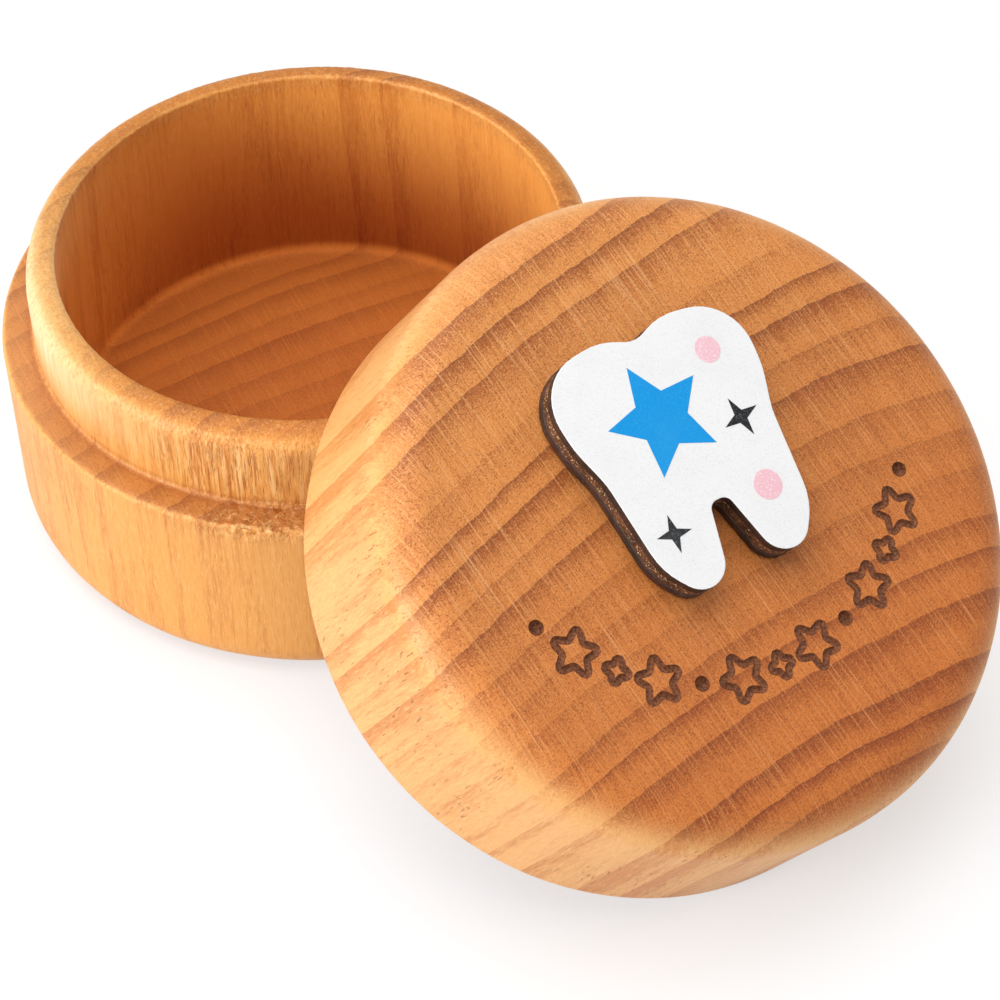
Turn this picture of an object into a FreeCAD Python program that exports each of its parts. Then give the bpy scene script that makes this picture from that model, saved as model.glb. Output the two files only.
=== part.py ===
import FreeCAD, Part
import math
import os

# A turned wooden keepsake box for milk teeth. The lid is off and leans on the rim of the box.
# The origin is the centre of the box's foot, on the table, and +Z is up. Lengths are in millimetres.

# Box: a turned cup with a shoulder, and above it a thinner rim that the lid slips over
box_radius = 30.0
shoulder_height = 20.2
shoulder_width = 3.1
spigot_height = 8.4
rim_wall = 2.95
bore_undercut = 0.7
floor_thickness = 4.6
foot_round = 3.6
shoulder_edge_round = 0.7
spigot_foot_round = 0.5
rim_outer_round = 2.3
rim_inner_round = 0.45
floor_corner_round = 1.2

# Lid: a thick turned disc with a recess that fits the rim of the box
lid_height = 20.6
lid_side_taper = 0.5
lid_top_round = 4.2
lid_edge_round = 1.3
lid_clearance = 0.2
recess_headroom = 0.8
recess_corner_round = 1.0
recess_mouth_round = 0.5

# Lean of the lid: how far its axis tips from upright, which way it leans, and the gap at the rim
lean_tilt = 32.5
lean_azimuth = -48.6
lean_gap = 0.2

# Plaque: a tooth cut from three-ply board and glued to the top of the lid
ply_thickness = 1.0
ply_names = ["plaque_back_ply", "plaque_core_ply", "plaque_face_ply"]
glue_thickness = 0.12
glue_inset = 1.1
print_thickness = 0.06
plaque_half_width = 10.2
plaque_height = 22.3
plaque_side_shift = 0.0
plaque_up_shift = 5.0
plaque_turn = -8.6

# Corners of half the tooth, from the dip in the crown down to the gap between the roots.
# Each has a share of the half width, a share of the height above the root tips, and a rounding
# that is a share of the rounding unit.
tooth_slimness = 0.457
tooth_shares = [
    (0.0, 0.950, 0.26),
    (0.31, 1.010, 0.64),
    (1.035, 0.965, 0.47),
    (0.98, 0.672, 0.85),
    (0.86, 0.503, 0.66),
    (0.78, 0.123, 0.60),
    (0.325, -0.140, 0.24),
    (0.09, 0.279, 0.09),
]

# Sizes worked out from those above
spigot_radius = box_radius - shoulder_width
bore_radius = spigot_radius - rim_wall
rim_height = shoulder_height + spigot_height
lid_radius = box_radius
lid_top_radius = lid_radius - lid_side_taper
recess_radius = spigot_radius + lid_clearance
recess_depth = spigot_height + recess_headroom
rounding_unit = min(plaque_half_width, tooth_slimness * plaque_height)
turn_axis = FreeCAD.Vector(0, 0, 1)
tip_axis = FreeCAD.Vector(1, 0, 0)
origin = FreeCAD.Vector(0, 0, 0)
full_turn = 360
quarter_turn = 90
mouth_steps = 180
halvings = 40
middle_share = 0.5


def rounded_wire(corners):
    """Closed wire through corners of (point, rounding): straight runs joined by tangent arcs."""
    starts, arcs, ends = [], [], []
    for index, (point, rounding) in enumerate(corners):
        to_last = (corners[index - 1][0] - point).normalize()
        to_next = (corners[(index + 1) % len(corners)][0] - point).normalize()
        half_angle = to_last.getAngle(to_next) / 2
        tangent = rounding / math.tan(half_angle)
        starts.append(point + to_last * tangent)
        ends.append(point + to_next * tangent)
        if rounding > 0:
            inward = (to_last + to_next).normalize()
            middle = point + inward * (rounding / math.sin(half_angle) - rounding)
            arcs.append(Part.Arc(starts[-1], middle, ends[-1]).toShape())
        else:
            arcs.append(None)
    edges = []
    for index, arc in enumerate(arcs):
        if arc is not None:
            edges.append(arc)
        run_start = ends[index]
        run_end = starts[(index + 1) % len(corners)]
        edges.append(Part.LineSegment(run_start, run_end).toShape())
    return Part.Wire(edges)


def turned(profile):
    """Solid turned about the axis from corners of (radius, height, rounding)."""
    corners = [(FreeCAD.Vector(radius, 0, height), rounding) for radius, height, rounding in profile]
    return Part.Face(rounded_wire(corners)).revolve(origin, turn_axis, full_turn)


def make_box():
    """The cup: foot, outer wall, shoulder, rim and bored inside."""
    return turned([
        (0, 0, 0),
        (box_radius, 0, foot_round),
        (box_radius, shoulder_height, shoulder_edge_round),
        (spigot_radius, shoulder_height, spigot_foot_round),
        (spigot_radius, rim_height, rim_outer_round),
        (bore_radius, rim_height, rim_inner_round),
        (bore_radius + bore_undercut, floor_thickness, floor_corner_round),
        (0, floor_thickness, 0),
    ])


def make_lid():
    """The lid, upright, with the centre of its underside at the origin."""
    return turned([
        (0, recess_depth, 0),
        (recess_radius, recess_depth, recess_corner_round),
        (recess_radius, 0, recess_mouth_round),
        (lid_radius, 0, lid_edge_round),
        (lid_top_radius, lid_height, lid_top_round),
        (0, lid_height, 0),
    ])


def tooth_face(inset):
    """Flat tooth in the plaque's own frame, upright about its middle, drawn in by the inset."""
    half = []
    for side_share, up_share, round_share in tooth_shares:
        point = FreeCAD.Vector(side_share * plaque_half_width, (up_share - middle_share) * plaque_height, 0)
        half.append((point, round_share * rounding_unit))
    mirrored = [(FreeCAD.Vector(-point.x, point.y, 0), rounding) for point, rounding in half[:0:-1]]
    face = Part.Face(rounded_wire(half + mirrored))
    if inset > 0:
        face = face.makeOffset2D(-inset)
    return face


def make_plaque():
    """Glue, plies and printed ground of the plaque, stacked on the top of the upright lid."""
    layers = [("plaque_glue", glue_thickness, glue_inset)]
    layers += [(name, ply_thickness, 0) for name in ply_names]
    layers += [("plaque_print", print_thickness, 0)]
    place = FreeCAD.Placement(
        FreeCAD.Vector(plaque_side_shift, plaque_up_shift, lid_height),
        FreeCAD.Rotation(turn_axis, plaque_turn),
    )
    pieces = {}
    level = 0.0
    for name, thickness, inset in layers:
        piece = tooth_face(inset).extrude(turn_axis * thickness)
        piece.translate(turn_axis * level)
        piece.Placement = place.multiply(piece.Placement)
        pieces[name] = piece
        level += thickness
    return pieces


def rim_distance(point):
    """Distance from a point to the rounded outside of the rim, negative inside it."""
    outward = math.hypot(point.x, point.y) - (spigot_radius - rim_outer_round)
    upward = point.z - (rim_height - rim_outer_round)
    return math.hypot(max(outward, 0), max(upward, 0)) - rim_outer_round


def lean_place():
    """Place of the leaning lid: its lower edge on the table, its recess's mouth on the rim."""
    tilt = math.radians(lean_tilt)
    lowest_drop = (lid_radius - lid_edge_round) * math.sin(tilt) - lid_edge_round * math.cos(tilt)
    centre_height = lowest_drop + lid_edge_round
    mouth_radius = recess_radius + recess_mouth_round

    def mouth_gap(reach):
        least = box_radius
        for step in range(mouth_steps):
            angle = math.pi * step / mouth_steps
            across = mouth_radius * math.cos(angle)
            uphill = mouth_radius * math.sin(angle)
            point = FreeCAD.Vector(
                reach - uphill * math.cos(tilt) + recess_mouth_round * math.sin(tilt),
                across,
                centre_height + uphill * math.sin(tilt) + recess_mouth_round * math.cos(tilt),
            )
            least = min(least, rim_distance(point) - recess_mouth_round)
        return least

    near, far = middle_share * lid_radius, box_radius + lid_radius
    for _ in range(halvings):
        reach = (near + far) / 2
        if mouth_gap(reach) < lean_gap:
            near = reach
        else:
            far = reach
    lean_turn = FreeCAD.Rotation(turn_axis, lean_azimuth + quarter_turn)
    lean_tip = FreeCAD.Rotation(tip_axis, lean_tilt)
    direction = math.radians(lean_azimuth)
    centre = FreeCAD.Vector(far * math.cos(direction), far * math.sin(direction), centre_height)
    return FreeCAD.Placement(centre, lean_turn.multiply(lean_tip))


place = lean_place()
pieces = {"box_base": make_box()}
for name, piece in {"box_lid": make_lid(), **make_plaque()}.items():
    piece.Placement = place.multiply(piece.Placement)
    pieces[name] = piece

os.makedirs("parts", exist_ok=True)
for name, piece in pieces.items():
    piece.exportStep(os.path.join("parts", name + ".step"))
    print(name, "valid", piece.isValid(), "volume", round(piece.Volume, 1))
print("lid centre", [round(value, 3) for value in place.Base])
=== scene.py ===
import math

import bmesh
import bpy
from mathutils import Matrix, Vector, noise


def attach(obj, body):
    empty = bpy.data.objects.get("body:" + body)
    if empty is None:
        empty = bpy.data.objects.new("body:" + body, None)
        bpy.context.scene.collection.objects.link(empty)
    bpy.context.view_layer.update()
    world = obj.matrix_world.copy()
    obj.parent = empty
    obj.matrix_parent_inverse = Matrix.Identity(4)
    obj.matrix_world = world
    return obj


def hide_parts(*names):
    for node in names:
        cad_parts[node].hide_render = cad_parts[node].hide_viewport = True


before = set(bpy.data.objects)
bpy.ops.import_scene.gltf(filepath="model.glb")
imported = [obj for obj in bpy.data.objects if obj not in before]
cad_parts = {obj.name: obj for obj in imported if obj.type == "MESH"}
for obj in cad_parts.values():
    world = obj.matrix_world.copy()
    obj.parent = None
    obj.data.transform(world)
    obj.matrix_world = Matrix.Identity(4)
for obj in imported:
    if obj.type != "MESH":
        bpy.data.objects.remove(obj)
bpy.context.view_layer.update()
mm = 0.001
print("frame loaded:", sorted(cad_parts))


class Wire:                                    # a node's output that takes part in sums
    def __init__(self, graph, socket):
        self.graph = graph
        self.socket = socket

    def math(self, operation, *others):
        sockets = dict(enumerate((self, *others)))
        return self.graph.node("ShaderNodeMath", {"operation": operation}, sockets)

    def __add__(self, other):
        return self.math("ADD", other)

    def __radd__(self, other):
        return self.math("ADD", other)

    def __sub__(self, other):
        return self.math("SUBTRACT", other)

    def __rsub__(self, other):
        return self.graph.node("ShaderNodeMath", {"operation": "SUBTRACT"}, {0: other, 1: self})

    def __mul__(self, other):
        return self.math("MULTIPLY", other)

    def __rmul__(self, other):
        return self.math("MULTIPLY", other)

    def __truediv__(self, other):
        return self.math("DIVIDE", other)

    def __rtruediv__(self, other):
        return self.graph.node("ShaderNodeMath", {"operation": "DIVIDE"}, {0: other, 1: self})

    def __pow__(self, other):
        return self.math("POWER", other)

    def rise(self, low, high):                 # smooth step from 0 at low to 1 at high, which may be lower
        settings = {"interpolation_type": "SMOOTHSTEP"}
        return self.graph.node("ShaderNodeMapRange", settings, {0: self, 1: low, 2: high, 3: 0.0, 4: 1.0})


class Graph:                                   # a shader or geometry tree and its one way to add a node
    def __init__(self, tree):
        self.tree = tree

    def node(self, kind, settings=None, sockets=None, out=0):
        made = self.tree.nodes.new(kind)
        for key, value in (settings or {}).items():
            setattr(made, key, value)
        for key, value in (sockets or {}).items():
            if isinstance(value, Wire):
                self.tree.links.new(value.socket, made.inputs[key])
            else:
                made.inputs[key].default_value = value
        return Wire(self, made.outputs[out]) if made.outputs else made

    def own(self, kind):                       # the piece's own Object or Normal coordinates
        return self.node("ShaderNodeTexCoord", out=kind)

    def split(self, vector):
        parts = self.node("ShaderNodeSeparateXYZ", None, {0: vector}).socket.node.outputs
        return [Wire(self, part) for part in parts]

    def join(self, x, y, z):
        return self.node("ShaderNodeCombineXYZ", None, {0: x, 1: y, 2: z})

    def vector(self, operation, *values):
        return self.node("ShaderNodeVectorMath", {"operation": operation}, dict(enumerate(values)))

    def measure(self, operation, *values):     # vector maths with a number as its result
        return Wire(self, self.vector(operation, *values).socket.node.outputs["Value"])

    def bell(self, point, spot, spread):       # 1 at the spot, falling away over the spread
        apart = self.vector("DIVIDE", self.vector("SUBTRACT", point, spot), spread)
        return (self.measure("DOT_PRODUCT", apart, apart) * -1.0).math("EXPONENT")

    def noise(self, vector, cell, detail=1.0, rough=0.5):   # cell: size of a blob along each axis
        scaled = self.vector("DIVIDE", vector, cell)
        sockets = {"Vector": scaled, "Scale": 1.0, "Detail": detail, "Roughness": rough}
        return self.node("ShaderNodeTexNoise", None, sockets)

    def ripple(self, vector, cell, detail=1.0, rough=0.5):   # noise about zero
        return self.noise(vector, cell, detail, rough) - 0.5

    def mix(self, share, first, second, blend="MIX"):
        settings = {"data_type": "RGBA", "blend_type": blend}
        return self.node("ShaderNodeMix", settings, {0: share, 6: first, 7: second}, out=2)

    def bump(self, strength, depth, height):
        sockets = {"Strength": strength, "Distance": depth, "Height": height}
        return self.node("ShaderNodeBump", None, sockets)


def even(size):                                # the same along each axis
    return (size, size, size)


def hexColour(text):                           # written as seen on screen, kept linear
    channels = [int(text[i:i + 2], 16) / 255 for i in (0, 2, 4)]
    linear = [c / 12.92 if c <= 0.04045 else ((c + 0.055) / 1.055) ** 2.4 for c in channels]
    return (*linear, 1.0)


def newMaterial(name):
    material = bpy.data.materials.new(name)
    material.use_nodes = True
    material.node_tree.nodes.clear()
    return material, Graph(material.node_tree)


def surface(graph, settings):                  # principled shader to the output
    shader = graph.node("ShaderNodeBsdfPrincipled", None, settings)
    graph.node("ShaderNodeOutputMaterial", None, {"Surface": shader})


def newObject(name, data):
    made = bpy.data.objects.new(name, data)
    bpy.context.scene.collection.objects.link(made)
    return made


def meshFrom(name, points, edges, faces):
    mesh = bpy.data.meshes.new(name)
    mesh.from_pydata([tuple(p) for p in points], edges, faces)
    return mesh


def outwardNormals(mesh):
    form = bmesh.new()
    form.from_mesh(mesh)
    bmesh.ops.recalc_face_normals(form, faces=form.faces)
    form.to_mesh(mesh)
    form.free()


def newGeometryTree(name, inputs):
    tree = bpy.data.node_groups.new(name, "GeometryNodeTree")
    tree.interface.new_socket("Geometry", in_out="INPUT", socket_type="NodeSocketGeometry")
    for label, kind in inputs.items():
        tree.interface.new_socket(label, in_out="INPUT", socket_type="NodeSocket" + kind)
    tree.interface.new_socket("Geometry", in_out="OUTPUT", socket_type="NodeSocketGeometry")
    graph = Graph(tree)
    source = graph.node("NodeGroupInput").socket.node
    return tree, graph, {socket.name: Wire(graph, socket) for socket in source.outputs if socket.name}


def endGeometryTree(graph, geometry, material):
    real = graph.node("GeometryNodeRealizeInstances", None, {"Geometry": geometry})
    dressed = graph.node("GeometryNodeSetMaterial", None, {"Geometry": real, "Material": material})
    graph.node("NodeGroupOutput", None, {"Geometry": dressed})


def keepModified(piece):                       # the modifiers' result as the piece's plain mesh
    graph = bpy.context.evaluated_depsgraph_get()
    mesh = bpy.data.meshes.new_from_object(piece.evaluated_get(graph))
    piece.modifiers.clear()
    piece.data = mesh
    return mesh


def grow(piece, tree, values):                 # runs a geometry tree and keeps its plain mesh
    modifier = piece.modifiers.new(tree.name, "NODES")
    modifier.node_group = tree
    for item in tree.interface.items_tree:
        if item.in_out == "INPUT" and item.name in values:
            modifier[item.identifier] = values[item.name]
    mesh = keepModified(piece)
    for slot in reversed(range(len(mesh.materials))):   # the grid's own empty slot
        if mesh.materials[slot] is None:
            mesh.materials.pop(index=slot)


def roundedPath(corners, step, arcStep, closed):   # corners of (x, y, rounding) to points
    count = len(corners)
    path = []
    for index, (x, y, rounding) in enumerate(corners):
        point = Vector((x, y))
        if rounding == 0:
            path.append(point)
            continue
        toLast = (Vector(corners[index - 1][:2]) - point).normalized()
        toNext = (Vector(corners[(index + 1) % count][:2]) - point).normalized()
        half = toLast.angle(toNext) / 2
        centre = point + (toLast + toNext).normalized() * (rounding / math.sin(half))
        start = point + toLast * (rounding / math.tan(half)) - centre
        sweep = start.angle_signed(point + toNext * (rounding / math.tan(half)) - centre)
        pieces = max(2, math.ceil(abs(sweep) / arcStep))
        for k in range(pieces + 1):
            path.append(centre + Matrix.Rotation(-sweep * k / pieces, 2) @ start)
    if closed:
        path.append(path[0])
    filled = []
    for here, there in zip(path, path[1:]):
        pieces = max(1, math.ceil((there - here).length / step))
        filled += [here.lerp(there, k / pieces) for k in range(pieces)]
    return filled if closed else filled + [path[-1]]


def finishPiece(piece, body, slot, *nodes):
    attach(piece, body)
    if nodes:
        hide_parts(*nodes)
    print("piece", piece.name, len(piece.data.polygons), "faces")


# Beech, in the grain's own frame. Each pattern: size along the grain's axes in mm, detail, roughness.
beechPatterns = {
    "slow": ((38.0, 38.0, 160.0), 1.0, 0.5), "fine": ((2.6, 9.0, 60.0), 3.0, 0.62),
    "width": (even(9.0), 1.0, 0.5),
    "rays": ((0.13, 6.0, 1.6), 1.0, 0.6), "longRays": ((0.17, 13.0, 4.0), 0.0, 0.5),
    "sand": ((0.15, 0.15, 1.4), 2.0, 0.8), "mottle": ((8.0, 8.0, 26.0), 3.0, 0.55),
    "flecks": ((0.26, 0.28, 1.4), 1.0, 0.5), "streaks": ((0.4, 0.5, 7.0), 4.0, 0.72),
    "slits": ((0.2, 0.28, 4.0), 3.0, 0.7), "crumbs": ((0.55, 0.55, 0.7), 3.0, 0.68),
    "frayed": ((0.3, 0.3, 0.6), 3.0, 0.7),
}
# Pairs are the limits between which a pattern shows, and the rest are shares.
beechGrain = {
    "late": (0.15, 1.0), "lateCurve": 1.3, "toneShare": 0.75,
    "lineStart": (0.86, 0.95), "lineEnd": (1.0, 0.965),
    "ray": (0.05, 0.25), "longRay": (0.66, 0.76), "pore": (0.07, 0.2), "glint": (-0.05, -0.18),
    # Of these, the last pair is where painted shade across the lid's top sets in.
    "fleck": (0.65, 0.73), "fleckZone": (-0.1, 0.12), "heart": (30.0, -26.0),
    "sideShade": (0.0, 1.1), "sideBase": 0.15, "sideSand": 0.5, "sideMottle": 1.3, "sideGlint": 0.3,
    "endShade": (-0.25, 1.15), "endBase": 0.08, "endSand": 1.3, "endRays": 0.95, "endMottle": 0.6,
    "rayShare": 0.3, "poreShare": 0.6, "endGlint": 0.42,
    "endFull": 0.98, "raggedSand": 0.08, "raggedRays": 0.16,
    "streakHeight": 0.6, "poreHeight": 0.5, "rayHeight": 0.3, "fleckHeight": 0.5,
    "bump": 0.45, "bumpDepth": 0.1,
    "rough": 0.46, "poreRough": 0.15, "endRough": 0.05, "glintRough": 0.06, "polish": 0.4,
}
# Wear, and painted light: a highlight high on the spigot's left, shade and light in the bore, shade in the
# crease.
wearAndPaintedLight = {
    "slit": (0.5, 0.64), "slitShare": 0.9, "slitHeight": 1.1, "tornPale": (0.03, -0.16), "tornShare": 0.7,
    "highlightShare": 0.75, "highlightStreak": 1.6, "highlightEnd": 0.4,
    "pit": (0.5, 0.64), "pitShare": 0.5, "pitHeight": 2.4, "crust": (0.48, 0.34), "crustShare": 0.6,
    "crustHeight": 1.5, "ringShare": 0.3, "floorLightShare": 0.2, "wallLightShare": 0.2, "backSlant": 0.35,
    "back": (-0.1, 0.8), "boreRough": 0.3, "creaseShade": (0.9, 0.2), "creaseShare": 0.36, "creaseStreak": 1.2,
    "frayLight": (0.5, 0.72), "frayLightShare": 0.28, "frayDark": (0.46, 0.28), "frayDarkShare": 0.45,
}
lidLook = {
    "sideLight": hexColour("E6A966"), "sideDark": hexColour("CC8342"), "sideGlow": hexColour("F2C98C"),
    "endLight": hexColour("E09148"), "endDark": hexColour("A1551E"), "endPale": hexColour("EEB574"),
    "ringLine": hexColour("7A3F16"), "rayLight": hexColour("F0B87E"), "pore": hexColour("6A3210"),
    # The last tint here is painted shade, multiplied in across the lid's top.
    "fleck": hexColour("8A4C1C"), "heartTint": hexColour("E7CBAE"),
    "ringWidth": 3.3, "pith": 140.0, "fan": 0.0044, "fanLevel": 4.0, "slowWave": 3.5, "fineWave": 0.7,
    "widthChange": 2.2, "lineShare": 0.5, "endFrom": 0.36, "sideRing": 1.0, "endRing": 1.05, "endFine": 1.2,
    "streak": 2.0, "fleckShare": 0.65, "longRayShare": 0.36,
}
boxLook = {
    **lidLook,
    "sideLight": hexColour("E09C4D"), "sideDark": hexColour("BF732E"), "sideGlow": hexColour("F0C486"),
    "endLight": hexColour("C07A36"), "endDark": hexColour("92501D"), "endPale": hexColour("CA8B47"),
    "ringLine": hexColour("92521F"), "rayLight": hexColour("D89C59"), "pore": hexColour("824515"),
    # The pale rim colour here is a painted highlight; the white tint leaves the box without the lid's
    # painted shade ramp.
    "heartTint": hexColour("FFFFFF"), "slit": hexColour("A4571B"), "rubbed": hexColour("F8D8A6"),
    # The bore, bore light, floor and deep tints are painted shade and painted light inside the cup.
    "innerTint": hexColour("FFF8E2"), "innerPale": hexColour("FFB454"), "floorTint": hexColour("F8E0CE"),
    "deepTint": hexColour("C8A68A"), "rimTint": hexColour("FFF2AC"),
    "fan": 0.0, "lineShare": 0.2, "endFrom": 0.62, "sideRing": 0.5, "endRing": 0.75, "endFine": 0.45,
    "fleckShare": 0.3, "longRayShare": 0.16,
}


def growthRings(g, grain, look):               # dark late wood, and the thin line that ends a ring
    b = beechGrain
    across, outward = g.split(grain)[:2]
    slow = g.ripple(grain, *beechPatterns["slow"])
    fine = g.ripple(grain, *beechPatterns["fine"])
    fromPith = outward + look["pith"]
    fan = across * (look["fanLevel"] - outward) * look["fan"]
    reach = (fromPith * fromPith + across * across) ** 0.5 - look["pith"] + fan
    reach = reach + slow * look["slowWave"] + fine * look["fineWave"]
    wide = g.ripple(g.join(reach, 0.0, 0.0), *beechPatterns["width"])
    count = reach / look["ringWidth"] + wide * look["widthChange"]
    ring = count.math("FRACT")
    tone = g.node("ShaderNodeTexWhiteNoise", {"noise_dimensions": "1D"}, {"W": count.math("FLOOR")})
    return {
        "late": ring.rise(*b["late"]) ** b["lateCurve"] * (tone * b["toneShare"] + (1.0 - b["toneShare"])),
        "line": ring.rise(*b["lineStart"]) * ring.rise(*b["lineEnd"]) * tone,
        # this ramp is painted shade: it darkens the end grain across the lid's top, towards one side
        "heart": outward.rise(*b["heart"]),
    }


def finePatterns(g, grain):                    # rays are thin plates along the radius, sand is the pores
    b = beechGrain
    sand = g.ripple(grain, *beechPatterns["sand"])
    mottle = g.ripple(grain, *beechPatterns["mottle"])
    flecks = g.noise(grain, *beechPatterns["flecks"]).rise(*b["fleck"])
    return {
        "rays": g.ripple(grain, *beechPatterns["rays"]),
        "longRays": g.noise(grain, *beechPatterns["longRays"]).rise(*b["longRay"]),
        "sand": sand,
        "pores": sand.rise(*b["pore"]),
        "glints": sand.rise(*b["glint"]),
        "mottle": mottle,
        "flecks": flecks * mottle.rise(*b["fleckZone"]),
        "streaks": g.ripple(grain, *beechPatterns["streaks"]),
    }


def sideWood(g, look, p):                      # cut along the grain
    b = beechGrain
    shade = p["late"] * look["sideRing"] + p["streaks"] * look["streak"] + p["sand"] * b["sideSand"]
    shade = shade + p["mottle"] * b["sideMottle"] + b["sideBase"]
    colour = g.mix(shade.rise(*b["sideShade"]), look["sideLight"], look["sideDark"])
    colour = g.mix(p["glints"] * b["sideGlint"], colour, look["sideGlow"])
    return g.mix(p["flecks"] * look["fleckShare"], colour, look["fleck"])


def endWood(g, look, p):                       # cut across the grain
    b = beechGrain
    shade = p["late"] * look["endRing"] + p["mottle"] * b["endMottle"]
    shade = shade + (p["sand"] * b["endSand"] - p["rays"] * b["endRays"]) * look["endFine"] + b["endBase"]
    colour = g.mix(shade.rise(*b["endShade"]), look["endLight"], look["endDark"])
    colour = g.mix(p["line"] * look["lineShare"], colour, look["ringLine"])
    rays = p["rays"].rise(*b["ray"]) * b["rayShare"] + p["longRays"] * look["longRayShare"]
    colour = g.mix(rays, colour, look["rayLight"])
    colour = g.mix(p["pores"] * b["poreShare"], colour, look["pore"])
    colour = g.mix(p["glints"] * b["endGlint"], colour, look["endPale"])
    # painted shade: the end grain darkens along the ramp across the lid's top
    return g.mix(p["heart"], colour, look["heartTint"], "MULTIPLY")


def tornFibresAndHighlight(g, look, p, wear, wood):        # open slits, and a painted highlight: a paler spot high on the spigot's left, where the window lamp falls
    w = wearAndPaintedLight
    torn = g.bell(p["place"], wear["tornSpot"], wear["tornSpread"]) * (1.0 - p["endGrain"])
    slits = g.noise(p["grain"], *beechPatterns["slits"]).rise(*w["slit"]) * torn
    # painted highlight: a paler patch high on the spigot's left, where the window lamp falls
    rubbed = g.bell(p["place"], wear["paleSpot"], wear["paleSpread"])
    p["rubbed"] = rubbed * (1.0 - p["endGrain"] * w["highlightEnd"])
    pale = p["streaks"].rise(*w["tornPale"]) * torn * w["tornShare"]
    colour = g.mix(pale, wood["colour"], look["sideGlow"])
    # the painted highlight, streaked with the grain
    highlight = p["rubbed"] * (w["highlightShare"] - p["streaks"] * w["highlightStreak"])
    colour = g.mix(highlight, colour, look["rubbed"])
    wood["colour"] = g.mix(slits * w["slitShare"], colour, look["slit"])
    wood["height"] = wood["height"] - slits * w["slitHeight"]


def crumbledEdge(g, look, p, wear, wood):
    w = wearAndPaintedLight
    zone = g.bell(p["place"], wear["crumbSpot"], wear["crumbSpread"])
    crumbs = g.noise(p["grain"], *beechPatterns["crumbs"])
    pits = crumbs.rise(*w["pit"]) * zone
    crust = crumbs.rise(*w["crust"]) * zone
    colour = g.mix(crust * w["crustShare"], wood["colour"], look["sideGlow"])
    wood["colour"] = g.mix(pits * w["pitShare"], colour, look["slit"])
    wood["height"] = wood["height"] - pits * w["pitHeight"] + crust * w["crustHeight"]


def boreShadeAndLight(g, look, p, wear, wood):         # painted shade and light in the bore: darker inside, most of all low at the back, paler high on the wall and at the floor's edge
    w = wearAndPaintedLight
    radius, level = p["radius"], p["level"]
    inside = radius.rise(*wear["boreSide"]) * level.rise(*wear["boreFoot"]) * level.rise(*wear["boreTop"])
    wall = inside * level.rise(*wear["wallFoot"])
    floor = inside - wall
    # painted shade falls heaviest at the back of the bore
    back = ((p["y"] + p["x"] * w["backSlant"]) / mm / wear["boreRadius"]).rise(*w["back"])
    deepShade = wall * level.rise(*wear["wallDeep"]) * back
    colour = g.mix(floor * p["late"] * w["ringShare"], wood["colour"], look["endDark"])
    # painted light at the floor's edge, painted shade over the bore, painted light high on the wall,
    # painted shade on the floor, deeper painted shade low at the back
    colour = g.mix(floor * radius.rise(*wear["floorPale"]) * w["floorLightShare"], colour, look["innerPale"])
    colour = g.mix(inside, colour, look["innerTint"], "MULTIPLY")
    colour = g.mix(wall * level.rise(*wear["wallPale"]) * w["wallLightShare"], colour, look["innerPale"])
    colour = g.mix(floor, colour, look["floorTint"], "MULTIPLY")
    wood["colour"] = g.mix(deepShade, colour, look["deepTint"], "MULTIPLY")
    wood["rough"] = wood["rough"] + inside * w["boreRough"]


def rimFrayAndCreaseShade(g, look, p, wear, wood):          # a frayed rim, and painted shade in the crease where it meets the shoulder
    w = wearAndPaintedLight
    outward = p["radius"] - wear["creaseRadius"]
    upward = p["level"] - wear["creaseLevel"]
    beside = (outward * outward + upward * upward) ** 0.5
    # painted shade in the crease where the spigot meets the shoulder
    creaseShade = beside.rise(*w["creaseShade"]) * (w["creaseShare"] + p["streaks"] * w["creaseStreak"])
    colour = g.mix(creaseShade, wood["colour"], look["slit"])
    rim = p["level"].rise(*wear["rim"])
    colour = g.mix(rim * p["endGrain"] * (1.0 - p["rubbed"]), colour, look["rimTint"], "MULTIPLY")
    frayed = g.noise(p["grain"], *beechPatterns["frayed"])
    colour = g.mix(rim * frayed.rise(*w["frayLight"]) * w["frayLightShare"], colour, look["sideGlow"])
    wood["colour"] = g.mix(rim * frayed.rise(*w["frayDark"]) * w["frayDarkShare"], colour, look["slit"])
    wood["height"] = wood["height"] + rim * frayed


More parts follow.
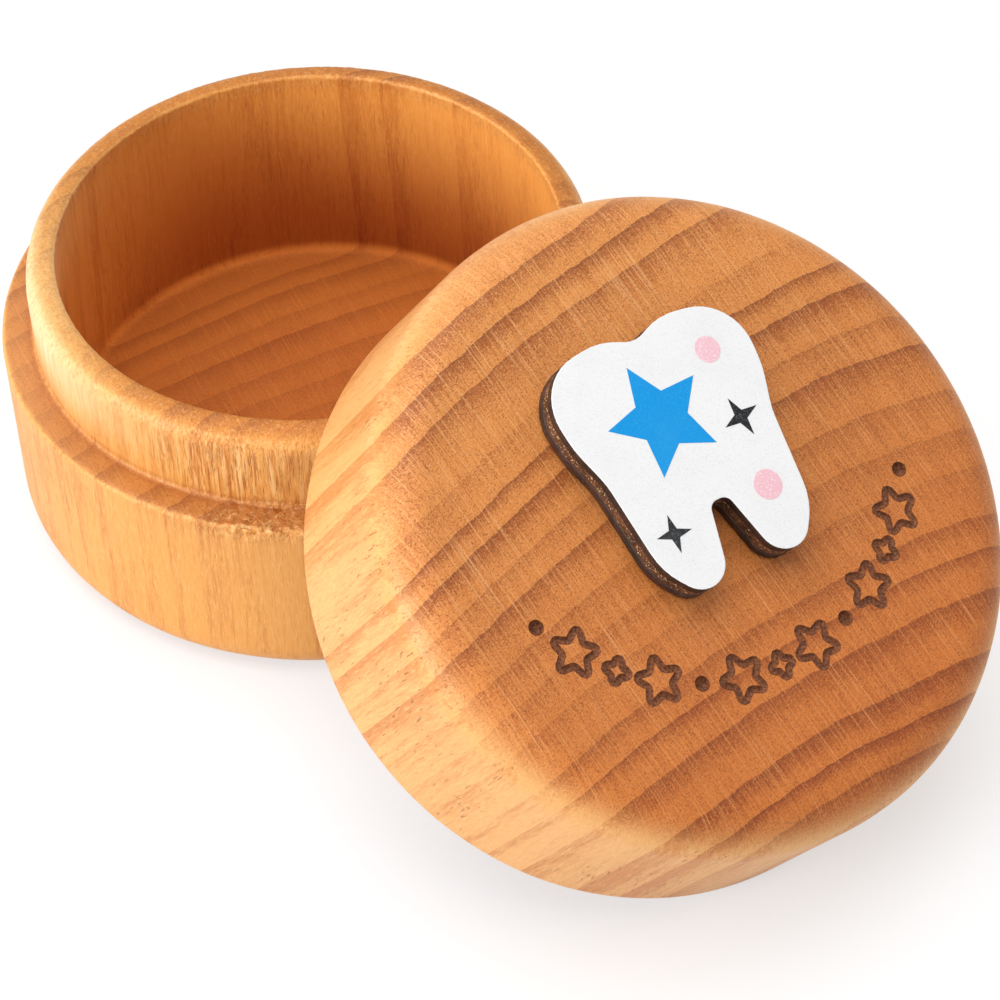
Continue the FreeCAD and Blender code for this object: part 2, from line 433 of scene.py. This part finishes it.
def beechMaterial(name, look, origin, turn, axis, wear=None):
    b = beechGrain
    material, g = newMaterial(name)
    place = g.own("Object")
    mapping = {"Vector": place, "Location": origin, "Rotation": turn, "Scale": even(mm)}
    grain = g.node("ShaderNodeMapping", {"vector_type": "TEXTURE"}, mapping)
    p = {"place": place, "grain": grain, **growthRings(g, grain, look), **finePatterns(g, grain)}
    facing = g.measure("DOT_PRODUCT", g.own("Normal"), axis).math("ABSOLUTE")
    ragged = p["sand"] * b["raggedSand"] + p["rays"] * b["raggedRays"]
    p["endGrain"] = (facing + ragged).rise(look["endFrom"], b["endFull"])
    height = p["streaks"] * (1.0 - p["endGrain"]) * b["streakHeight"] - p["pores"] * b["poreHeight"]
    rough = b["rough"] + p["pores"] * b["poreRough"] + p["endGrain"] * b["endRough"]
    wood = {
        "colour": g.mix(p["endGrain"], sideWood(g, look, p), endWood(g, look, p)),
        "height": height + p["rays"] * b["rayHeight"] - p["flecks"] * b["fleckHeight"],
        "rough": rough - p["glints"] * b["glintRough"],
    }
    if wear:
        p["x"], p["y"], level = g.split(place)
        p["radius"] = (p["x"] * p["x"] + p["y"] * p["y"]) ** 0.5 / mm
        p["level"] = level / mm
        # wear with painted light: torn fibres and a painted highlight, crumbs, the bore's painted shade and
        # light, a frayed rim with painted shade in its crease
        for treat in (tornFibresAndHighlight, crumbledEdge, boreShadeAndLight, rimFrayAndCreaseShade):
            treat(g, look, p, wear, wood)
    bump = g.bump(b["bump"], b["bumpDepth"] * mm, wood["height"])
    sockets = {"Base Color": wood["colour"], "Roughness": wood["rough"], "Normal": bump}
    surface(g, {**sockets, "Specular IOR Level": b["polish"]})
    return material


# Turning: a profile line swept round the axis, a little uneven, with small wear. Lengths in metres.
turning = {
    "wobbles": ((0.012, 0.012, 0.02), 2.0), "fibres": ((0.0005, 0.0005, 0.003), 2.0, 0.6),
    "crumbs": (even(0.0007), 2.0, 0.6), "frays": (even(0.0007), 2.0, 0.7),
    "fibre": (0.5, 0.72), "crumb": (0.44, 0.68), "crumbOutward": 0.7, "frayUpward": 0.6, "frayBand": 0.001,
    "calmRadius": 0.012, "seam": 0.000001,
}


def turnedTree(name):
    inputs = {"Segments": "Int", "Wobble": "Float", "Fray": "Float", "Fray Level": "Float",
              "Torn Depth": "Float", "Torn Spot": "Vector", "Torn Spread": "Vector",
              "Crumb Depth": "Float", "Crumb Spot": "Vector", "Crumb Spread": "Vector",
              "Nick Depth": "Float", "Nick Spot": "Vector", "Nick Spread": "Vector", "Wood": "Material"}
    t = turning
    tree, g, given = newGeometryTree(name, inputs)
    profile = given["Geometry"]
    rows = g.node("GeometryNodeAttributeDomainSize", {"component": "MESH"}, {0: profile})
    gridSize = {"Size X": 1.0, "Size Y": 1.0, "Vertices X": given["Segments"] + 1, "Vertices Y": rows}
    grid = g.node("GeometryNodeMeshGrid", None, gridSize)
    index = g.node("GeometryNodeInputIndex")
    column = (index / rows).math("FLOOR")
    angle = column / given["Segments"] * math.tau
    position = g.node("GeometryNodeInputPosition")
    sample = {"Geometry": profile, "Value": position, "Index": index - column * rows}
    onProfile = g.node("GeometryNodeSampleIndex", {"data_type": "FLOAT_VECTOR"}, sample)
    radius, level = g.split(onProfile)[::2]
    cosine = angle.math("COSINE")
    sine = angle.math("SINE")
    point = g.join(radius * cosine, radius * sine, level)

    def worn(part):                            # depth of one kind of wear about its spot
        return g.bell(point, given[part + " Spot"], given[part + " Spread"]) * given[part + " Depth"]

    uneven = g.ripple(point, *t["wobbles"]) * given["Wobble"]
    torn = g.noise(point, *t["fibres"]).rise(*t["fibre"]) * worn("Torn")
    crumb = g.noise(point, *t["crumbs"]).rise(*t["crumb"]) * worn("Crumb")
    fray = g.ripple(point, *t["frays"]) * given["Fray"]
    fray = fray * level.rise(given["Fray Level"] - t["frayBand"], given["Fray Level"])
    calm = (radius / t["calmRadius"]).rise(0.0, 1.0)   # nothing moves at the axis
    radius = radius + (uneven - torn - crumb * t["crumbOutward"]) * calm + fray
    level = level - worn("Nick") - crumb + fray * t["frayUpward"]
    moved = g.join(radius * cosine, radius * sine, level)
    placed = g.node("GeometryNodeSetPosition", None, {"Geometry": grid, "Position": moved})
    merged = g.node("GeometryNodeMergeByDistance", None, {"Geometry": placed, "Distance": t["seam"]})
    smooth = g.node("GeometryNodeSetShadeSmooth", None, {"Geometry": merged, "Shade Smooth": True})
    endGeometryTree(g, smooth, given["Wood"])
    return tree


turned = turnedTree("turnedForm")


def turnedPiece(name, corners, values, wood, wear):
    metric = [(r * mm, z * mm, c * mm) for r, z, c in corners]
    path = roundedPath(metric, values["rowStep"] * mm, values["arcStep"], False)
    edges = [(i, i + 1) for i in range(len(path) - 1)]
    piece = newObject(name, meshFrom(name, [(p.x, 0.0, p.y) for p in path], edges, []))
    grow(piece, turned, {"Segments": values["segments"], "Wood": wood, **wear})
    outwardNormals(piece.data)
    return piece


# Box: the turned cup. Sizes and depths in mm, spots of wear and of a painted highlight and their spreads in
# metres.
boxValues = {
    "radius": 30.0, "shoulderHeight": 20.2, "shoulderWidth": 3.1, "rimHeight": 28.6, "rimWall": 2.95,
    "undercut": 0.7, "floor": 4.6, "footRound": 3.6, "shoulderRound": 0.7, "spigotFootRound": 0.5,
    "rimOuterRound": 2.3, "rimInnerRound": 0.45, "floorRound": 1.2,
    "segments": 560, "rowStep": 0.9, "arcStep": 0.2, "grainTurn": 24.0, "grainShift": (0.004, 0.011, 0.0),
    "wobble": 0.14, "fray": 0.38, "tornDepth": 0.22, "crumbDepth": 0.36, "nickDepth": 0.28,
    "tornSpot": (-0.0065, -0.0266, 0.0242), "tornSpread": (0.012, 0.006, 0.0046),
    "crumbSpot": (-0.0048, -0.029, 0.0201), "crumbSpread": (0.0068, 0.0028, 0.0014),
    "nickSpot": (-0.0248, 0.0045, 0.0284), "nickSpread": even(0.0008),
    "paleSpot": (-0.0255, -0.008, 0.0262), "paleSpread": (0.009, 0.0155, 0.0046),
    # radii and heights between which a tone sets in: the bore's painted shade and light, the rim's tint,
    # the crease's painted shade
    "boreRadius": 24.0, "boreSide": (25.3, 24.5), "boreFoot": (2.5, 3.5), "boreTop": (28.1, 26.5),
    "wallFoot": (5.0, 6.2), "wallPale": (6.0, 10.0), "wallDeep": (27.5, 8.0), "floorPale": (9.0, 22.0),
    "rim": (26.1, 27.5), "creaseRadius": 27.1, "creaseLevel": 20.4,
}


def makeBox():
    v = boxValues
    spigot = v["radius"] - v["shoulderWidth"]
    bore = spigot - v["rimWall"]
    grainTurn = (0, 0, math.radians(v["grainTurn"]))
    wood = beechMaterial("boxBeech", boxLook, v["grainShift"], grainTurn, (0, 0, 1), v)
    corners = [
        (0, 0, 0),
        (v["radius"], 0, v["footRound"]),
        (v["radius"], v["shoulderHeight"], v["shoulderRound"]),
        (spigot, v["shoulderHeight"], v["spigotFootRound"]),
        (spigot, v["rimHeight"], v["rimOuterRound"]),
        (bore, v["rimHeight"], v["rimInnerRound"]),
        (bore + v["undercut"], v["floor"], v["floorRound"]),
        (0, v["floor"], 0),
    ]
    wear = {
        "Wobble": v["wobble"] * mm, "Fray": v["fray"] * mm, "Fray Level": v["rimHeight"] * mm,
        "Torn Depth": v["tornDepth"] * mm, "Torn Spot": v["tornSpot"], "Torn Spread": v["tornSpread"],
        "Crumb Depth": v["crumbDepth"] * mm, "Crumb Spot": v["crumbSpot"], "Crumb Spread": v["crumbSpread"],
        "Nick Depth": v["nickDepth"] * mm, "Nick Spot": v["nickSpot"], "Nick Spread": v["nickSpread"],
    }
    box = turnedPiece("boxTurned", corners, v, wood, wear)
    finishPiece(box, "box", "box_wood", "box_base")


# Lid: the turned disc that leans on the rim, with a row of burnt marks along an arc. Sizes in mm.
lidValues = {
    "radius": 30.0, "height": 20.6, "taper": 0.5, "topRound": 4.2, "edgeRound": 1.3,
    "recessRadius": 27.1, "recessDepth": 9.2, "recessRound": 1.0, "mouthRound": 0.5,
    "segments": 640, "rowStep": 0.9, "arcStep": 0.16, "wobble": 0.12,
    "tilt": 32.5, "azimuth": -48.6, "centre": (27.991, -31.749, 15.624),
    "markCentre": (0.8, 7.3), "markCount": 13, "markRadius": 22.0, "markStart": -161.0, "markSweep": 121.0,
    "starTips": 5, "star": 2.5, "starWaist": 1.12, "sparkleTips": 4, "sparkle": 1.75, "sparkleWaist": 0.62,
    "dot": 0.7, "groove": 0.35, "tipRound": 0.3, "sharpAngle": 38.0,
    "arcPoints": 64, "nibPoints": 12, "tipPoints": 3, "dotSegments": 20, "dotRings": 12,
    "burntDark": hexColour("542A14"), "burntLight": hexColour("96572D"), "burntShade": (0.35, 0.68),
    "specks": (even(0.00022), 2.0, 0.7), "burntRough": 0.6, "speckRough": 0.2,
    "burntBump": 0.6, "burntDepth": 0.12,
}
lidAxle = Matrix.Rotation(math.radians(lidValues["azimuth"] + 90), 4, "Z")
lidTurn = lidAxle @ Matrix.Rotation(math.radians(lidValues["tilt"]), 4, "X")
lidPlace = Matrix.Translation(Vector(lidValues["centre"]) * mm) @ lidTurn


def marksTree(name):                           # dot, star, sparkle, star and again, all facing outward
    inputs = {"Count": "Int", "Radius": "Float", "Start": "Float", "Sweep": "Float", "Groove": "Float",
              "Star": "Float", "Star Waist": "Float", "Sparkle": "Float", "Sparkle Waist": "Float",
              "Tip Round": "Float", "Dot": "Float", "Burnt": "Material"}
    v = lidValues
    tree, g, given = newGeometryTree(name, inputs)
    arcSockets = {"Radius": given["Radius"], "Start Angle": given["Start"], "Sweep Angle": given["Sweep"],
                  "Resolution": v["arcPoints"]}
    arc = g.node("GeometryNodeCurveArc", {"mode": "RADIUS"}, arcSockets)
    points = g.node("GeometryNodeCurveToPoints", {"mode": "COUNT"}, {"Curve": arc, "Count": given["Count"]})
    nibSockets = {"Resolution": v["nibPoints"], "Radius": given["Groove"]}
    nib = g.node("GeometryNodeCurvePrimitiveCircle", {"mode": "RADIUS"}, nibSockets)

    def stroke(tips, outer, waist):
        star = {"Points": tips, "Outer Radius": outer, "Inner Radius": waist}
        shape = g.node("GeometryNodeCurveStar", None, star)
        fillet = {"Curve": shape, "Radius": given["Tip Round"], "Count": v["tipPoints"]}
        rounded = g.node("GeometryNodeFilletCurve", {"mode": "POLY"}, fillet)
        return g.node("GeometryNodeCurveToMesh", None, {"Curve": rounded, "Profile Curve": nib})

    star = stroke(v["starTips"], given["Star"], given["Star Waist"])
    sparkle = stroke(v["sparkleTips"], given["Sparkle"], given["Sparkle Waist"])
    dotSockets = {"Segments": v["dotSegments"], "Rings": v["dotRings"], "Radius": given["Dot"]}
    dot = g.node("GeometryNodeMeshUVSphere", None, dotSockets)
    choices = g.node("GeometryNodeGeometryToInstance")
    for shape in (dot, sparkle, star):         # the socket lists its last link first
        g.tree.links.new(shape.socket, choices.socket.node.inputs[0])
    index = g.node("GeometryNodeInputIndex")
    odd = index - (index / 2).math("FLOOR") * 2
    fourth = index - (index / 4).math("FLOOR") * 4
    pick = (1.0 - odd) * (2.0 - fourth / 2)
    place = g.node("GeometryNodeInputPosition")
    outFacing = g.node("FunctionNodeAlignEulerToVector", {"axis": "Y"}, {"Vector": place})
    sockets = {"Points": points, "Instance": choices, "Pick Instance": True,
               "Instance Index": pick, "Rotation": outFacing}
    row = g.node("GeometryNodeInstanceOnPoints", None, sockets)
    endGeometryTree(g, row, given["Burnt"])
    return tree


def burntMaterial():
    v = lidValues
    material, g = newMaterial("burntGroove")
    speck = g.noise(g.own("Object"), *v["specks"])
    colour = g.mix(speck.rise(*v["burntShade"]), v["burntDark"], v["burntLight"])
    bump = g.bump(v["burntBump"], v["burntDepth"] * mm, speck)
    rough = v["burntRough"] + speck * v["speckRough"]
    surface(g, {"Base Color": colour, "Roughness": rough, "Normal": bump})
    return material


def engrave(piece, cutter):                    # cuts the marks into the mesh, with their own material
    cut = piece.modifiers.new("engraving", "BOOLEAN")
    cut.operation = "DIFFERENCE"
    cut.solver = "MANIFOLD"
    cut.material_mode = "TRANSFER"
    cut.object = cutter
    mesh = keepModified(piece)
    mesh.set_sharp_from_angle(angle=math.radians(lidValues["sharpAngle"]))
    bpy.data.objects.remove(cutter)


def makeLid():
    v = lidValues
    axis = (lidTurn @ Vector((0, 0, 1))).to_tuple()
    wood = beechMaterial("lidBeech", lidLook, lidPlace.translation, lidTurn.to_euler(), axis)
    corners = [
        (0, v["recessDepth"], 0),
        (v["recessRadius"], v["recessDepth"], v["recessRound"]),
        (v["recessRadius"], 0, v["mouthRound"]),
        (v["radius"], 0, v["edgeRound"]),
        (v["radius"] - v["taper"], v["height"], v["topRound"]),
        (0, v["height"], 0),
    ]
    lid = turnedPiece("lidTurned", corners, v, wood, {"Wobble": v["wobble"] * mm})
    cutter = newObject("markCutter", bpy.data.meshes.new("markCutter"))
    marks = {
        "Count": v["markCount"], "Radius": v["markRadius"] * mm, "Groove": v["groove"] * mm,
        "Start": math.radians(v["markStart"]), "Sweep": math.radians(v["markSweep"]),
        "Star": v["star"] * mm, "Star Waist": v["starWaist"] * mm, "Tip Round": v["tipRound"] * mm,
        "Sparkle": v["sparkle"] * mm, "Sparkle Waist": v["sparkleWaist"] * mm, "Dot": v["dot"] * mm,
        "Burnt": burntMaterial(),
    }
    grow(cutter, marksTree("burntMarks"), marks)
    outwardNormals(cutter.data)
    cutter.data.transform(Matrix.Translation(Vector((*v["markCentre"], v["height"])) * mm))
    engrave(lid, cutter)
    lid.data.transform(lidPlace)
    finishPiece(lid, "lid", "lid_wood", "box_lid")


# Plaque: three plies with a burnt edge, a white print and small printed shapes. Sizes in mm.
plaqueValues = {
    "side": 0.0, "up": 5.0, "turn": -8.6, "halfWidth": 10.2, "height": 22.3, "slimness": 0.457,
    "glue": 0.12, "ply": 1.0, "print": 0.06, "ink": 0.02, "pointStep": 0.3, "arcStep": 0.16,
    "edge": 0.09, "coreInset": 0.06, "plyRows": (0.35, 0.65), "grit": 0.05, "gritCell": 0.35,
    "printFoot": 0.02, "printEdge": 0.05, "printDrop": 0.025, "sharpAngle": 40.0,
}
# Corners of half the tooth: share of the half width, share of the height, rounding
toothShares = [
    (0.0, 0.950, 0.26), (0.31, 1.010, 0.64), (1.035, 0.965, 0.47), (0.98, 0.672, 0.85),
    (0.86, 0.503, 0.66), (0.78, 0.123, 0.60), (0.325, -0.140, 0.24), (0.09, 0.279, 0.09),
]
# Printed shapes: name, ink, centre, radius of the tips, radius of the waist, number of tips, turn
printedShapes = [
    ("blueStar", "blueInk", (-1.2, 3.2), 5.2, 2.5, 5, 8),
    ("pinkDotHigh", "pinkInk", (5.9, 7.0), 1.2, 1.2, 24, 0),
    ("pinkDotLow", "pinkInk", (4.9, -5.6), 1.35, 1.35, 24, 0),
    ("darkSparkleRight", "darkInk", (5.7, 0.6), 1.9, 0.6, 4, 10),
    ("darkSparkleLow", "darkInk", (-5.3, -6.0), 1.7, 0.55, 4, -8),
]
# Burnt plies and glue: dark, light, glint, share of the glints, roughness
plyLooks = {
    "charredPly": (hexColour("170B06"), hexColour("44261A"), hexColour("7A4E32"), 0.3, 0.55),
    "charredCore": (hexColour("311A0E"), hexColour("74482A"), hexColour("E8C49A"), 0.9, 0.42),
    "driedGlue": (hexColour("8F6A3C"), hexColour("C9A570"), hexColour("F0DDB4"), 0.4, 0.4),
}
plyGrain = {
    "grits": (even(0.0003), 3.0, 0.7), "clouds": (even(0.002), 2.0),
    "glints": ((0.00016, 0.00016, 0.00022), 1.0),
    "shade": (0.25, 0.75), "glint": (0.6, 0.7), "glintRough": 0.15, "bump": 0.8, "bumpDepth": 0.12,
}
# Prints: ink, worn ink, share of the specks, roughness
printLooks = {
    "whitePrint": (hexColour("EEEEEE"), hexColour("D8D8D9"), 0.4, 0.36),
    "blueInk": (hexColour("0493DC"), hexColour("3FA9E2"), 0.35, 0.36),
    "pinkInk": (hexColour("EFB9C4"), hexColour("F4E2E4"), 0.85, 0.36),
    "darkInk": (hexColour("131416"), hexColour("66676B"), 0.6, 0.42),
}
printGrain = {
    "grits": (even(0.00017), 2.0, 0.65), "clouds": (even(0.004), 2.0),
    "speck": (0.52, 0.66), "cloud": (0.4, 0.7), "cloudShare": 0.15,
    "gritRough": 0.12, "polish": 0.25, "bump": 0.25, "bumpDepth": 0.05,
}
plaqueShift = Vector((plaqueValues["side"], plaqueValues["up"], lidValues["height"])) * mm
plaqueTurn = Matrix.Rotation(math.radians(plaqueValues["turn"]), 4, "Z")
plaquePlace = lidPlace @ Matrix.Translation(plaqueShift) @ plaqueTurn


def toothOutline():
    v = plaqueValues
    unit = min(v["halfWidth"], v["slimness"] * v["height"])
    half = [(x * v["halfWidth"], (y - 0.5) * v["height"], r * unit) for x, y, r in toothShares]
    corners = half + [(-x, y, r) for x, y, r in half[:0:-1]]
    metric = [(x * mm, y * mm, r * mm) for x, y, r in corners]
    return roundedPath(metric, v["pointStep"] * mm, v["arcStep"], True)


def starOutline(centre, outer, waist, tips, turn):
    path = []
    for k in range(tips * 2):
        reach = (outer if k % 2 == 0 else waist) * mm
        angle = math.radians(turn + 90) + math.pi * k / tips
        path.append(Vector(centre) * mm + Vector((math.cos(angle), math.sin(angle))) * reach)
    return path


def slab(name, outline, rows, material, grit=0.0):   # rows of (inset, level) from the bottom up
    v = plaqueValues
    count = len(outline)
    across = []
    for k in range(count):
        run = outline[(k + 1) % count] - outline[k - 1]
        across.append(Vector((-run.y, run.x)).normalized())
    area = sum(a.cross(b) for a, b in zip(outline, outline[1:] + outline[:1]))
    inward = 1.0 if area > 0 else -1.0
    points = []
    for inset, level in rows:
        for k in range(count):
            spot = outline[k] + across[k] * inward * inset
            if grit:
                shift = noise.noise(Vector((spot.x, spot.y, level)) / (v["gritCell"] * mm))
                spot = spot + across[k] * shift * grit
            points.append(plaquePlace @ Vector((spot.x, spot.y, level)))
    faces = [tuple(range(count))[::-1], tuple(range(count * (len(rows) - 1), count * len(rows)))]
    for r in range(len(rows) - 1):
        low, high = r * count, (r + 1) * count
        for k in range(count):
            after = (k + 1) % count
            faces.append((low + k, low + after, high + after, high + k))
    mesh = meshFrom(name, points, [], faces)
    mesh.materials.append(material)
    outwardNormals(mesh)
    mesh.shade_smooth()
    mesh.set_sharp_from_angle(angle=math.radians(v["sharpAngle"]))
    for cap in (0, 1):
        mesh.polygons[cap].use_smooth = False
    return newObject(name, mesh)


def plyMaterial(name):
    v = plyGrain
    dark, light, pale, paleShare, rough = plyLooks[name]
    material, g = newMaterial(name)
    place = g.own("Object")
    grit = g.noise(place, *v["grits"])
    cloud = g.ripple(place, *v["clouds"])
    colour = g.mix((grit + cloud).rise(*v["shade"]), dark, light)
    shine = g.noise(place, *v["glints"]).rise(*v["glint"])
    colour = g.mix(shine * paleShare, colour, pale)
    bump = g.bump(v["bump"], v["bumpDepth"] * mm, grit)
    surface(g, {"Base Color": colour, "Roughness": rough - shine * v["glintRough"], "Normal": bump})
    return material


def printMaterial(name):
    v = printGrain
    ink, worn, specks, rough = printLooks[name]
    material, g = newMaterial(name)
    place = g.own("Object")
    grit = g.noise(place, *v["grits"])
    cloud = g.noise(place, *v["clouds"])
    share = grit.rise(*v["speck"]) * specks + cloud.rise(*v["cloud"]) * v["cloudShare"]
    colour = g.mix(share, ink, worn)
    bump = g.bump(v["bump"], v["bumpDepth"] * mm, grit + cloud)
    sockets = {"Base Color": colour, "Roughness": rough + grit * v["gritRough"], "Normal": bump}
    surface(g, {**sockets, "Specular IOR Level": v["polish"]})
    return material


def makePlaque():
    v = plaqueValues
    outline = toothOutline()
    char = plyMaterial("charredPly")
    core = plyMaterial("charredCore")
    inks = {name: printMaterial(name) for name in printLooks}
    level = v["glue"] * mm
    ply = v["ply"] * mm
    edge = v["edge"] * mm
    layers = [
        ("plaqueBackPly", "plaque_back_ply", char, 0.0),
        ("plaqueCorePly", "plaque_core_ply", core, v["coreInset"] * mm),
        ("plaqueFacePly", "plaque_face_ply", char, 0.0),
    ]
    for name, node, material, inset in layers:
        rows = [(inset + edge, level), (inset, level + edge)]
        rows += [(inset, level + ply * share) for share in v["plyRows"]]
        rows += [(inset, level + ply - edge), (inset + edge, level + ply)]
        finishPiece(slab(name, outline, rows, material, v["grit"] * mm), "lid", "plywood", node)
        level += ply
    top = level + v["print"] * mm
    foot = v["printFoot"] * mm
    rows = [(foot, level), (0.0, level + foot)]
    rows += [(0.0, top - v["printDrop"] * mm), (v["printEdge"] * mm, top)]
    ground = slab("plaquePrint", outline, rows, inks["whitePrint"])
    finishPiece(ground, "lid", "white_print", "plaque_print")
    rows = [(0.0, top), (0.0, top + v["ink"] * mm)]
    for name, ink, *shape in printedShapes:
        finishPiece(slab(name, starOutline(*shape), rows, inks[ink]), "lid", "white_print")


def dressGlue():                               # the film keeps its solid and gets a material
    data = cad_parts["plaque_glue"].data
    data.materials.clear()
    data.materials.append(plyMaterial("driedGlue"))


makeBox()
makeLid()
makePlaque()
dressGlue()
print("pieces dressed")


# Studio: a white floor and sky, a lamp like a window and one overhead. Places in metres.
studio = {
    "paper": (0.72, 0.72, 0.73, 1.0), "brightPaper": (0.95, 0.95, 0.96, 1.0), "white": (1.0, 1.0, 1.0, 1.0),
    "middle": (0.016, -0.018, 0.0), "fade": (0.045, 0.085), "nearGlow": 0.58, "farGlow": 0.42, "half": 3.0,
    "sky": 0.5, "seenSky": 0.5, "aim": (0.01, -0.01, 0.01),
}
# Lamps: name, place, size, energy
studioLamps = [
    ("windowLight", (-0.42, -0.29, 0.17), 0.24, 2.05),
    ("topLight", (-0.08, 0.0, 0.54), 0.56, 2.45),
]
# Camera: lengths in units of so many mm, angles in degrees, focal length and frame in pixels
cameraFit = {
    "target": (0.584, -0.5402, 0.3), "unit": 30.0, "away": 9.9634, "elevation": 46.86, "roll": -1.36,
    "focal": 3128.5, "frame": 1000, "sensor": 36.0, "clipStart": 0.01,
}


def makeCamera():
    c = cameraFit
    data = bpy.data.cameras.new("studioCamera")
    data.sensor_width = c["sensor"]
    data.lens = c["focal"] / c["frame"] * c["sensor"]
    data.clip_start = c["clipStart"]
    camera = newObject("studioCamera", data)
    tilt = math.radians(c["elevation"])
    back = Vector((0, -math.cos(tilt), math.sin(tilt)))
    flat = Vector((1, 0, 0))
    upright = back.cross(flat)
    roll = math.radians(c["roll"])
    right = flat * math.cos(roll) + upright * math.sin(roll)
    up = upright * math.cos(roll) - flat * math.sin(roll)
    place = (Vector(c["target"]) + back * c["away"]) * c["unit"] * mm
    camera.matrix_world = Matrix.Translation(place) @ Matrix((right, up, back)).transposed().to_4x4()
    bpy.context.scene.camera = camera


def seenDirectly(g):                           # 1 where a ray comes from the camera or a glossy surface
    rays = g.node("ShaderNodeLightPath").socket.node.outputs
    kinds = ("Is Camera Ray", "Is Glossy Ray", "Is Transmission Ray")
    camera, glossy, through = [Wire(g, rays[kind]) for kind in kinds]
    return (camera + glossy + through).rise(0.0, 1.0)


def makeFloor():
    s = studio
    material, g = newMaterial("studioFloor")
    seen = seenDirectly(g)
    paper = g.node("ShaderNodeBsdfDiffuse", None, {"Color": s["paper"]})
    bright = g.node("ShaderNodeBsdfDiffuse", None, {"Color": s["brightPaper"]})
    lit = g.node("ShaderNodeMixShader", None, {0: seen, 1: paper, 2: bright})
    far = g.measure("DISTANCE", g.own("Object"), s["middle"]).rise(*s["fade"])
    glow = g.node("ShaderNodeEmission", None, {"Color": s["white"], "Strength": 1.0})
    share = seen * (s["nearGlow"] + far * s["farGlow"])
    both = g.node("ShaderNodeMixShader", None, {0: share, 1: lit, 2: glow})
    g.node("ShaderNodeOutputMaterial", None, {"Surface": both})
    h = s["half"]
    corners = [(-h, -h, 0), (h, -h, 0), (h, h, 0), (-h, h, 0)]
    floor = newObject("studioFloor", meshFrom("studioFloor", corners, [], [(0, 1, 2, 3)]))
    floor.data.materials.append(material)


def makeSky():
    world = bpy.data.worlds.new("studioWorld")
    world.use_nodes = True
    world.node_tree.nodes.clear()
    g = Graph(world.node_tree)
    strength = studio["sky"] + seenDirectly(g) * studio["seenSky"]
    sky = g.node("ShaderNodeBackground", None, {"Color": studio["white"], "Strength": strength})
    g.node("ShaderNodeOutputWorld", None, {"Surface": sky})
    bpy.context.scene.world = world


def makeLamps():
    for name, place, size, energy in studioLamps:
        lamp = bpy.data.lights.new(name, "AREA")
        lamp.size = size
        lamp.energy = energy
        light = newObject(name, lamp)
        light.location = place
        aim = Vector(studio["aim"]) - light.location
        light.rotation_euler = aim.to_track_quat("-Z", "Y").to_euler()


makeCamera()
makeFloor()
makeSky()
makeLamps()
bpy.context.scene.view_settings.view_transform = "Standard"
print("studio made")
